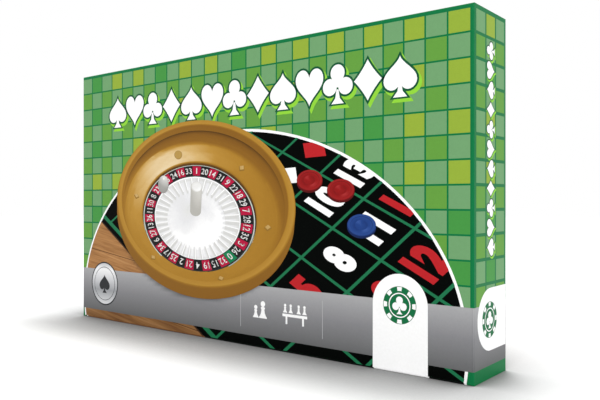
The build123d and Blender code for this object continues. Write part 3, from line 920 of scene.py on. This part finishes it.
def patched(fences, step, low, high):
    """Small cells of an area inside all the fences."""
    cells = []
    columns, rows = (int((high[k] - low[k]) / step + 0.999) for k in (0, 1))
    for column in range(columns):
        for row in range(rows):
            x, z = low[0] + column * step, low[1] + row * step
            cell = oblong(x, z, min(x + step, high[0]), min(z + step, high[1]))
            for limits in fences:
                cell = clipped(cell, limits)
            if cell:
                cells.append(cell)
    return cells


def shaded_print(wall, name, cells, colour, lift):
    """Cells joined into one layer, with the wheel's shadow stored at their points."""
    shape = bmesh.new()
    for cell in cells:
        shape.faces.new([shape.verts.new((*point, 0)) for point in cell])
    bmesh.ops.remove_doubles(shape, verts=shape.verts, dist=0.002)
    mesh = bpy.data.meshes.new(name)
    shape.to_mesh(mesh)
    shape.free()
    mesh.materials.append(colour)
    dark = mesh.attributes.new("shadow", "FLOAT", "POINT")
    for vertex in mesh.vertices:
        x, z, _ = vertex.co
        dark.data[vertex.index].value = shade_under_wheel(x, z) if wall == "front" else 0
    printed(wall, name, mesh, lift)


def in_shadow(tree, tone):
    """A printed tone, darkened by the shadow stored on the layer."""
    dark = put(tree, "Attribute", attribute_name="shadow").outputs["Fac"]
    return put(tree, "Mix", data_type="RGBA", blend_type="MULTIPLY", Factor=dark, A=tone,
               B="#3c3a3a")


def table_grain(tree):
    """Long grain, a few millimetres apart, that runs a little downwards to the right."""
    place = put(tree, "TexCoord").outputs["Object"]
    tilted = put(tree, "Mapping", place, Rotation=(0, radians(-9), 0))
    drawn_out = put(tree, "Mapping", tilted, Scale=(1 / 0.06, 1, 1 / 0.0035))
    grain = put(tree, "TexNoise", drawn_out, Scale=1.0, Detail=5, Roughness=0.6, Distortion=0.4)
    fine = put(tree, "Mapping", tilted, Scale=(1 / 0.03, 1, 1 / 0.0009))
    fine = put(tree, "TexNoise", fine, Scale=1.0, Detail=2)
    tone = put(tree, "ValToRGB", grain, stops=(
        (0.28, "#835531"), (0.45, "#a27242"), (0.6, "#b58350"), (0.75, "#c69865")))
    streak = put(tree, "ValToRGB", fine, stops=((0.35, "#b8a28c"), (0.55, "#ffffff")))
    both = put(tree, "Mix", data_type="RGBA", blend_type="MULTIPLY", Factor=0.35, A=tone, B=streak)
    height = put(tree, "SeparateXYZ", place).outputs["Z"]
    lower = put(tree, "MapRange", height, From_Max=0.045, To_Min=0.6)
    both = put(tree, "Mix", data_type="RGBA", blend_type="MULTIPLY", Factor=1.0, A=both, B=lower)
    return in_shadow(tree, both)


wood_ink, seam_ink = ink("print_of_wood", table_grain), ink("print_dark_seam", "#3b2413")
table = [on_cloth(cloth_edge, -9), (-300, -60), on_cloth(cloth_edge, 2)]
wood = patched([fence, table], 4.0, (-196, fold), (20, 110))
shaded_print("front", "panel_wood", wood, wood_ink, 0.115)
seams = []
for (x0, z0), (x1, z1) in (((-200, 67.5), (20, 38)), ((-200, 24), (20, -3))):
    seam = [(x0, z0), (x1, z1), (x1, z1 + 0.5), (x0, z0 + 0.5)]
    seams.append(clipped(clipped(seam, fence), table))
ledge = [on_cloth(cloth_edge + a, b) for a, b in ((0, -9), (-0.03, -9), (-0.03, 9), (0, 9))]
seams.append(clipped(ledge, fence))
seams = [one_face(seam, seam_ink, 0.004 * k) for k, seam in enumerate(seams)]
print_on("front", "panel_seams", seams, 0.135)


# Grey band. It runs along the foot of the front and round the side walls, under the pictured
# wheel and the white tab, and pales upwards.
band_ink = ink("print_of_grey_band", lambda tree: in_shadow(tree, band_tone(tree)[1]))
front_band = patched([], 3.5, (-print_reach, band_low), (print_reach, band_high))
shaded_print("front", "band_front", front_band, band_ink, 0.15)
side_band = patched([], 12.5, (fold, band_low), (side_end, band_high))
for wall in ("right", "left"):
    shaded_print(wall, f"band_{wall}", side_band, band_ink, 0.05)
pale_ink = ink("print_pale_grey", "#b4b4b6")
rules = [one_face(oblong(x, 14, x + 0.45, 41), pale_ink) for x in (8.6, 87.3)]


def pawn(x, foot, tall):
    """Outlines of a game pawn: a head on a flared body."""
    head = [(x + tall * 0.17 * cos(a), foot + tall * 0.83 + tall * 0.17 * sin(a))
            for a in (pi * k / 12 for k in range(24))]
    half = [(0.3, 0), (0.3, 0.07), (0.24, 0.13), (0.15, 0.3), (0.11, 0.5), (0.17, 0.6), (0.1, 0.66)]
    body = [(x + tall * a, foot + tall * b) for a, b in half]
    return [head, body + [(x - tall * a, foot + tall * b) for a, b in half[::-1]]]


# Two pawns for the players, and four at a table
signs = pawn(24.6, 22.5, 9.5) + pawn(31.8, 22.5, 13)
for x in (53.5, 58.8, 66.2, 71.5):
    signs += pawn(x, 29.2, 6.4)
signs += [oblong(51, 26.3, 74, 28.3), oblong(54, 20.8, 55.6, 26.3), oblong(69.4, 20.8, 71, 26.3)]
signs = [one_face(sign, white_ink, 0.003 * (at % 4)) for at, sign in enumerate(signs)]
print_on("front", "band_signs", rules + signs, 0.17)


# Card-suit signs. Rows of white spades, hearts, diamonds and clubs, outlined in dark green
# with a lime shadow, run along the front above the picture, along the top and up the sides.
def suit(kind, tall):
    """Outlines of a suit sign, centred, of a given height."""
    turns = [2 * pi * step / 44 for step in range(44)]
    heart = [(sin(t) ** 3 * 0.5,
              (13 * cos(t) - 5 * cos(2 * t) - 2 * cos(3 * t) - cos(4 * t)) / 30 + 0.09)
             for t in turns]
    stem = [(0.03, -0.14), (0.07, -0.36), (0.19, -0.5), (-0.19, -0.5), (-0.07, -0.36),
            (-0.03, -0.14)]
    if kind == "heart":
        parts = [[(x * 0.9, y - 0.02) for x, y in heart]]
    elif kind == "spade":
        parts = [[(x * 0.9, -y * 0.84 + 0.08) for x, y in heart], stem]
    elif kind == "diamond":
        parts = [[(0.4 * cos(t) * (0.75 * abs(cos(t)) + 0.25 * cos(t) ** 2),
                   0.5 * sin(t) * (0.75 * abs(sin(t)) + 0.25 * sin(t) ** 2)) for t in turns]]
    else:
        parts = [[(x + 0.215 * cos(t), y + 0.215 * sin(t)) for t in turns]
                 for x, y in ((0, 0.27), (0.24, -0.07), (-0.24, -0.07))] + [stem]
        parts.append([(0.11 * cos(t), 0.05 + 0.14 * sin(t)) for t in turns])
    return [[(x * tall, y * tall) for x, y in part] for part in parts]


def grown(outline, by):
    """An outline moved outwards all round, its corners kept short."""
    turn = sum(a[0] * b[1] - a[1] * b[0] for a, b in zip(outline, outline[1:] + outline[:1]))
    outline = outline if turn > 0 else outline[::-1]
    wide = []
    for at, point in enumerate(outline):
        before, after = Vector(outline[at - 1]), Vector(outline[(at + 1) % len(outline)])
        point = Vector(point)
        if (point - before).length < 1e-6 or (after - point).length < 1e-6:
            continue
        first, second = (point - before).normalized(), (after - point).normalized()
        out = Vector((first.y + second.y, -first.x - second.x))
        out = out.normalized() if out.length > 0.1 else Vector((first.x, first.y))
        lean = max(out.dot(Vector((first.y, -first.x))), 0.55)
        wide.append(tuple(point + out * by / lean))
    return wide


def moved(outline, x, z):
    return [(px + x, pz + z) for px, pz in outline]


dark_ink, lime_ink = ink("print_dark_green", "#0d5331"), ink("print_lime", "#8fd23c")


def sign_row(wall, name, places, tall, edge, shadow, upright=True):
    """Signs at places on a wall, each over its outline and its shadow."""
    kinds = ("spade", "heart", "club", "diamond")
    shells = []
    for at, (x, z) in enumerate(places):
        for number, part in enumerate(suit(kinds[at % 4], tall)):
            part = part if upright else [(-y, x) for x, y in part]
            here = moved(part, x, z)
            hair = 0.004 * number
            shells.append(one_face(moved(grown(here, edge + 0.25), *shadow), lime_ink, hair))
            shells.append(one_face(grown(here, edge), dark_ink, 0.03 + hair))
            shells.append(one_face(here, white_ink, 0.06 + hair))
    print_on(wall, name, shells, 0.05)


sign_step = 24.6
front_places = [(2 + (k - 6) * sign_step, 191.7) for k in range(13)]
sign_row("front", "front_signs", front_places, 27.5, 1.5, (1.8, -2.1))
side_places = [(25, 82 + 12.3 * k) for k in range(11)]
for wall in ("right", "left"):
    sign_row(wall, f"{wall}_signs", side_places, 12.2, 0.75, (0.8, -0.9), upright=False)
top_places = [((k - 6) * sign_step, 25) for k in range(13)]
sign_row("top", "top_signs", top_places, 17, 0.9, (1.1, -1.3))


# White tab. A tab with a round end carries a sign of a gaming chip: it stands on the front's
# lower edge, and lies on each side wall from the back edge forwards.
chip_green, tab_white = ink("print_chip_green", "#0f6b3f"), ink("print_tab_white", "#fcfcfc")


def round_points(x, z, radius, turns):
    return [(x + radius * cos(turn), z + radius * sin(turn)) for turn in turns]


def disc(x, z, radius, colour, rise):
    turns = [2 * pi * step / 72 for step in range(72)]
    return one_face(round_points(x, z, radius, turns), colour, rise)


def chip_sign(x, z, radius, rise=0.02):
    """Flat sign of a gaming chip: its disc, the blocks on its edge and a club in its middle."""
    shells = [disc(x, z, radius * share, colour, rise + step) for share, colour, step in (
        (1, chip_green, 0), (0.66, tab_white, 0.02), (0.6, chip_green, 0.04))]
    for k in range(8):
        turns = [2 * pi * k / 8 + radians(a) for a in (-9, -4, 0, 4, 9)]
        block = round_points(x, z, radius * 0.97, turns)
        block += round_points(x, z, radius * 0.76, turns[::-1])
        shells.append(one_face(block, tab_white, rise + 0.02))
    return shells + [one_face(moved(part, x, z), tab_white, rise + 0.06 + 0.003 * k)
                     for k, part in enumerate(suit("club", radius * 0.95))]


tab_x, tab_z, tab_radius = 149.25, 43.75, 20.25
tab = arc((tab_x, tab_z), tab_radius, 0, 180, 40)
tab += [(tab_x - tab_radius, fold), (tab_x + tab_radius, fold)]
print_on("front", "tab_front", [one_face(tab, tab_white)] + chip_sign(tab_x, tab_z, 12.2), 0.19)
tab = arc((24.6, 37.1), 19.6, 90, 270, 36) + [(side_end, 17.5), (side_end, 56.7)]
for wall in ("right", "left"):
    print_on(wall, f"tab_{wall}", [one_face(tab, tab_white)] + chip_sign(23.2, 36.9, 11.3), 0.08)


# Medallion. A round silver sign with two dark rings and a spade, printed over the band's left
# end and the foot of the picture.
silver_ink = ink("print_of_silver", lambda tree: by_height(
    tree, 13, 55, (0, "#e3e4e6"), (0.35, "#9c9ea2"), (0.55, "#c9cacd"), (0.8, "#f3f3f4"),
    (1, "#a9abae"))[1])
steel_ink = ink("print_dark_steel", "#2c2e31")
medal = (-165.5, 33.6)
rings = (20.2, steel_ink), (19.0, silver_ink), (15.6, steel_ink), (15.1, silver_ink)
medallion = [disc(*medal, radius, colour, 0.02 * step)
             for step, (radius, colour) in enumerate(rings)]
medallion += [one_face(moved(part, *medal), steel_ink, 0.08 + 0.004 * k)
              for k, part in enumerate(suit("spade", 17.5))]
print_on("front", "medallion", medallion, 0.19)


# Pictured wheel and chips. The game's own wheel with its ball, and three of its chips, printed
# as they look from 40 degrees above; they are drawn from the pieces' own shapes, pressed flat.
eye, eye_distance = Vector((0, -cos(radians(40.5)), sin(radians(40.5)))), 1500
picture_size = 1.05
# The sky's directions, spread evenly by the golden angle, the lamp's softness, and how much
# each of them and the gleam of a smooth surface count
sky_steps, golden_turn, sky_reach = 64, 2.399963, 70
spiral = []
for k in range(sky_steps):
    h = 1 - (2 * k + 1) / sky_steps
    flat = sqrt(1 - h * h)
    spiral.append(Vector((flat * cos(k * golden_turn), flat * sin(k * golden_turn), h)))
lamp_width, sixth_turn = 0.16, 1.0472
lamp_spread = [Vector((lamp_width * cos(k * sixth_turn), lamp_width * sin(k * sixth_turn), 0))
               for k in range(6)] + [Vector()]
sky_share, lamp_share, gleam_share = 0.4, 0.32, 0.24
sheen, gleam_width, gleam_height = Vector((0.075, -0.125, 0.99)), 0.14, 24


def brightness(solid, place, normal, lamps):
    """Light on a point: from the open sky, from the lamp where nothing hides it, and the gleam,
    which is faint on the post, higher than the bowl."""
    open_sky = [(d.dot(normal), d) for d in spiral if d.dot(normal) > 0.05]
    free = sum(w * (1 if d.z > 0 else 0.6) for w, d in open_sky
               if solid.ray_cast(place, d, sky_reach)[0] is None)
    lit = sum(solid.ray_cast(place, d)[0] is None for d in lamps) / len(lamps)
    gleam = 2.718 ** (-((normal - sheen).length / gleam_width) ** 2)
    gleam = gleam * (1 if place.z < gleam_height else 0.3)
    return (sky_share * free / max(sum(w for w, d in open_sky), 0.01)
            + (0.35 + 0.65 * lit) * lamp_share * max(normal.dot(lamps[-1]), 0)
            + gleam_share * lit * gleam)


def picture(name, parts, spot, high, tilt, floor, relief):
    """Prints meshes, in mm, as seen by the eye: what is turned away or hidden is left out, the
    rest is pressed flat in order of depth, and its light and shade are stored at its corners."""
    points, sides = [], []
    for _, mesh, _, _ in parts:
        start = len(points)
        points += [vertex.co.copy() for vertex in mesh.vertices]
        sides += [[start + at for at in face.vertices] for face in mesh.polygons]
    solid = BVHTree.FromPolygons(points, sides)
    camera_spot = Vector((0, 0, high)) + eye * eye_distance
    depths = [point.dot(eye) for point in points]
    nearest, farthest = max(depths), min(depths)
    turn = Matrix.Rotation(tilt, 2)
    for part, mesh, lift, lamp in parts:
        lamps = [(Vector(lamp).normalized() + step).normalized() for step in lamp_spread]
        normals = [corner.vector.copy() for corner in mesh.corner_normals]
        known, seen, shades = {}, [], []
        for face in mesh.polygons:
            if face.normal.dot((camera_spot - face.center).normalized()) < 0.02:
                continue
            # A face shows if the camera sees one of its corners, drawn in a little
            spots = [mesh.vertices[at].co.lerp(face.center, 0.12) + face.normal * 0.03
                     for at in face.vertices]
            views = [(place, (camera_spot - place).normalized()) for place in spots]
            if all(solid.ray_cast(place + view * 0.02, view)[0] is not None
                   for place, view in views):
                continue
            seen.append(face)
            for loop in face.loop_indices:
                normal, at = normals[loop], mesh.loops[loop].vertex_index
                key = (at, *(round(c, 2) for c in normal))
                if key not in known:
                    place = mesh.vertices[at].co.lerp(face.center, 0.02) + normal * 0.5
                    known[key] = brightness(solid, place, normal, lamps)
                shades.append(known[key])
        used = sorted({at for face in seen for at in face.vertices})
        place_of = {at: number for number, at in enumerate(used)}
        flat = []
        for at in used:
            point = mesh.vertices[at].co
            near = picture_size / (1 - (point.dot(eye) - high * eye.z) / eye_distance)
            on_sheet = Vector((point.x, point.y * eye.z - (point.z - high) * eye.y))
            on_sheet = turn @ on_sheet * near
            rise = (point.dot(eye) - farthest) / (nearest - farthest) * relief
            flat.append((on_sheet.x + spot[0], on_sheet.y + spot[1], floor + lift + rise))
        drawn = bpy.data.meshes.new(part)
        drawn.from_pydata(flat, [], [[place_of[at] for at in face.vertices] for face in seen])
        for material in mesh.materials:
            drawn.materials.append(material)
        for face, source in zip(drawn.polygons, seen):
            face.material_index = source.material_index
        drawn.attributes.new("shade", "FLOAT", "CORNER").data.foreach_set("value", shades)
        printed("front", f"{name}_{part}", drawn)


gold_ink, knob_ink, mark_ink, dimple_ink, bright_ink, flange_ink, post_ink, ball_ink = (
    stored_ink(f"print_of_{name}", "shade", *stops) for name, *stops in (
        ("gold", (0.04, "#1c1207"), (0.14, "#593a10"), (0.26, "#83581b"), (0.44, "#90641f"),
         (0.58, "#9d7023"), (0.67, "#ab7d2a"), (0.74, "#b98c3a"), (0.82, "#d4b070"),
         (0.91, "#f0deba")),
        ("gold_knob", (0.2, "#8f6a28"), (0.45, "#a88240"), (0.7, "#c5a365"), (0.9, "#cfad74")),
        ("gold_mark", (0.3, "#7c5c28"), (0.9, "#a07c3e")),
        ("gold_dimple", (0.3, "#92713a"), (0.9, "#b8954f")),
        ("white", (0.16, "#d4d4d2"), (0.36, "#e3e3e2"), (0.52, "#e6e6e8"), (0.6, "#efeff0"),
         (0.66, "#fdfdfd")),
        ("foil", (0.3, "#4c5850"), (0.5, "#8d988f"), (0.66, "#cdd3cb")),
        ("post", (0.2, "#b6b4ae"), (0.45, "#cbc9c3"), (0.6, "#dad9d5"), (0.7, "#f6f6f5")),
        ("ball", (0.08, "#7b7a76"), (0.4, "#a9a8a4"), (0.6, "#c9c8c4"), (0.8, "#efefec"))))
over_left, low_right = (0.3, 0.4, 0.86), (0.42, -0.5, 0.75)
drawn_width, drawn_drop, cone_growth = (0.972, 0.985), 1.2, 0.5


def drawn_rotor(shells):
    """The rotor as the picture shows it: a little narrower and lower, with a steeper cone."""
    def drawn(x, y, z):
        taller = cone_growth * max(z - pocket_floor, 0) * (hypot(x, y) < pocket_inner)
        return x * drawn_width[0], y * drawn_width[1], z - drawn_drop + taller

    return [([drawn(*point) for point in verts], faces, colour) for verts, faces, colour in shells]


drawn_marks = (4.9, 0.12, mark_ink), (4.4, 0.2, dimple_ink)
drawn_bowl = bowl_shells(12.0, 144, gold_ink, 0.5, knob_ink, drawn_marks, 64.9,
                         (168, 108, 49.5, -6, -67, -129))
drawn_disc = [(*spun(rotor_profile(), 4 * pockets), bright_ink), shell_of(fret_mesh, bright_ink)]
drawn_ring = [(*spun(ring_half, 4 * pockets), steel_ink)]
drawn_post = [(*spun([(1.08 * r, z) for r, z in turret_profile(15, 41)], 40), post_ink)]
meshes = [(part, mesh_of(part, shells), lift, lamp) for part, shells, lift, lamp in (
    ("bowl", drawn_bowl[:1], 0.0, over_left), ("knobs", drawn_bowl[1:], 0.012, over_left),
    ("rotor", drawn_rotor(drawn_disc), 0.03, low_right),
    ("ring", drawn_rotor(drawn_ring), 0.04, low_right), ("post", drawn_post, 0.09, low_right))]
foil_rim(meshes[2][1], flange_ink, drawn_width)
wheel_view = Vector((-41.25, 112.7)), rim_height, radians(-3)
picture("pictured_wheel", meshes, *wheel_view, 0.2, 0.25)
print_mesh = mesh_of("print", drawn_rotor(ring_print), closed=False)
picture("pictured_ring", [("print", print_mesh, 0.0, over_left)], *wheel_view, 0.47, 0.03)
ball_verts = [(x * 6.6 - 40, y * 7.6 + 31.5, z * 7.2 + 14) for x, y, z in globe[0]]
ball_mesh = mesh_of("globe", [(ball_verts, globe[1], ball_ink)])
picture("pictured_ball", [("globe", ball_mesh, 0.0, over_left)], *wheel_view, 0.51, 0.02)
reds = (0.08, "#2c0405"), (0.4, "#5e090b"), (0.62, "#7e0e10"), (0.74, "#921314"), (0.92, "#bd3f40")
blues = (0.08, "#06102c"), (0.4, "#12285a"), (0.62, "#183572"), (0.74, "#1f4083"), (0.92, "#4768ac")
for name, where, stops in (("red", (103, 117), reds), ("red_2", (76, 124), reds),
                           ("blue", (120, 93), blues)):
    paint = stored_ink(f"print_of_{name}_chip", "shade", *stops)
    chip = mesh_of("chip", [(*chip_shape, paint)], crease=28)
    picture(f"pictured_chip_{name}", [("disc", chip, 0.0, over_left)], where, 0, 0, 0.2, 0.05)


# Floor and light. A plain pale floor under a soft lamp in front, a weaker one to the right
# and one overhead behind, in a white room; none of it is part of the object.
def shown_rays(tree):
    """1 for rays from the camera, straight, by a gloss or through a thing, and 0 for the rest."""
    path = put(tree, "LightPath").outputs
    shown = put(tree, "Math.MAXIMUM", path["Is Camera Ray"], path["Is Glossy Ray"])
    return put(tree, "Math.MAXIMUM", shown, path["Is Transmission Ray"])


floor_mesh = bpy.data.meshes.new("floor")
floor_corners = [(x, y, -0.0001) for x, y in ((-4, -4), (4, -4), (4, 4), (-4, 4))]
floor_mesh.from_pydata(floor_corners, [], [(0, 1, 2, 3)])
floor = linked("floor", floor_mesh)
# Pale matt paper that shows white to the camera and keeps the object's soft shadow. For the
# camera it also carries a painted shadow: its colour greys and its glow dims where ambient
# occlusion finds the object close, while the object itself is lit by the even paper
paper, tree, place = new_material("pale_floor")
shown = shown_rays(tree)
far = put(tree, "VectorMath.LENGTH", place).outputs["Value"]
faint = put(tree, "MapRange", far, From_Min=0.25, From_Max=0.9, To_Min=0.2, To_Max=0.5)
# Painted shadow: ambient occlusion near the object greys the floor's colour and dims its glow
clear = put(tree, "AmbientOcclusion", samples=16, Distance=0.1).outputs["AO"]
clear = put(tree, "MapRange", clear, From_Min=0.5)
faint = put(tree, "Math.MULTIPLY", faint, clear)
strength = put(tree, "Math.MULTIPLY", shown, faint)
glow = put(tree, "Emission", Color="#ffffff", Strength=strength)
even = put(tree, "Math.SUBTRACT", 1.0, shown)
even = put(tree, "Math.MAXIMUM", clear, even)
shade = put(tree, "Mix", even, data_type="RGBA", A="#8c8c8c", B="#e6e6e6")
put(tree, "OutputMaterial", put(tree, "AddShader", put(tree, "BsdfDiffuse", Color=shade), glow))
floor_mesh.materials.append(paper)

room = bpy.data.worlds.new("white_room")
room.use_nodes = True
tree = room.node_tree
tree.nodes.clear()
dim, full = (put(tree, "Background", Color="#ffffff", Strength=power) for power in (0.72, 1.0))
put(tree, "OutputWorld", put(tree, "MixShader", shown_rays(tree), dim, full))
bpy.context.scene.world = room

for name, spot, aim, side, power in (("front_lamp", (0.35, -1.7, 1.5), (0, 0, 0.1), 1.2, 15),
                                     ("side_lamp", (1.9, -0.15, 1.1), (0.1, 0, 0.1), 1.0, 10),
                                     ("top_lamp", (-0.05, 0.42, 2.0), (0, 0, 0), 0.3, 15)):
    lamp_data = bpy.data.lights.new(name, "AREA")
    lamp_data.size, lamp_data.energy = side, power
    lamp_object = linked(name, lamp_data)
    lamp_object.location = spot
    lamp_object.rotation_euler = (Vector(aim) - Vector(spot)).to_track_quat("-Z", "Y").to_euler()

bpy.context.scene.view_settings.view_transform = "Standard"
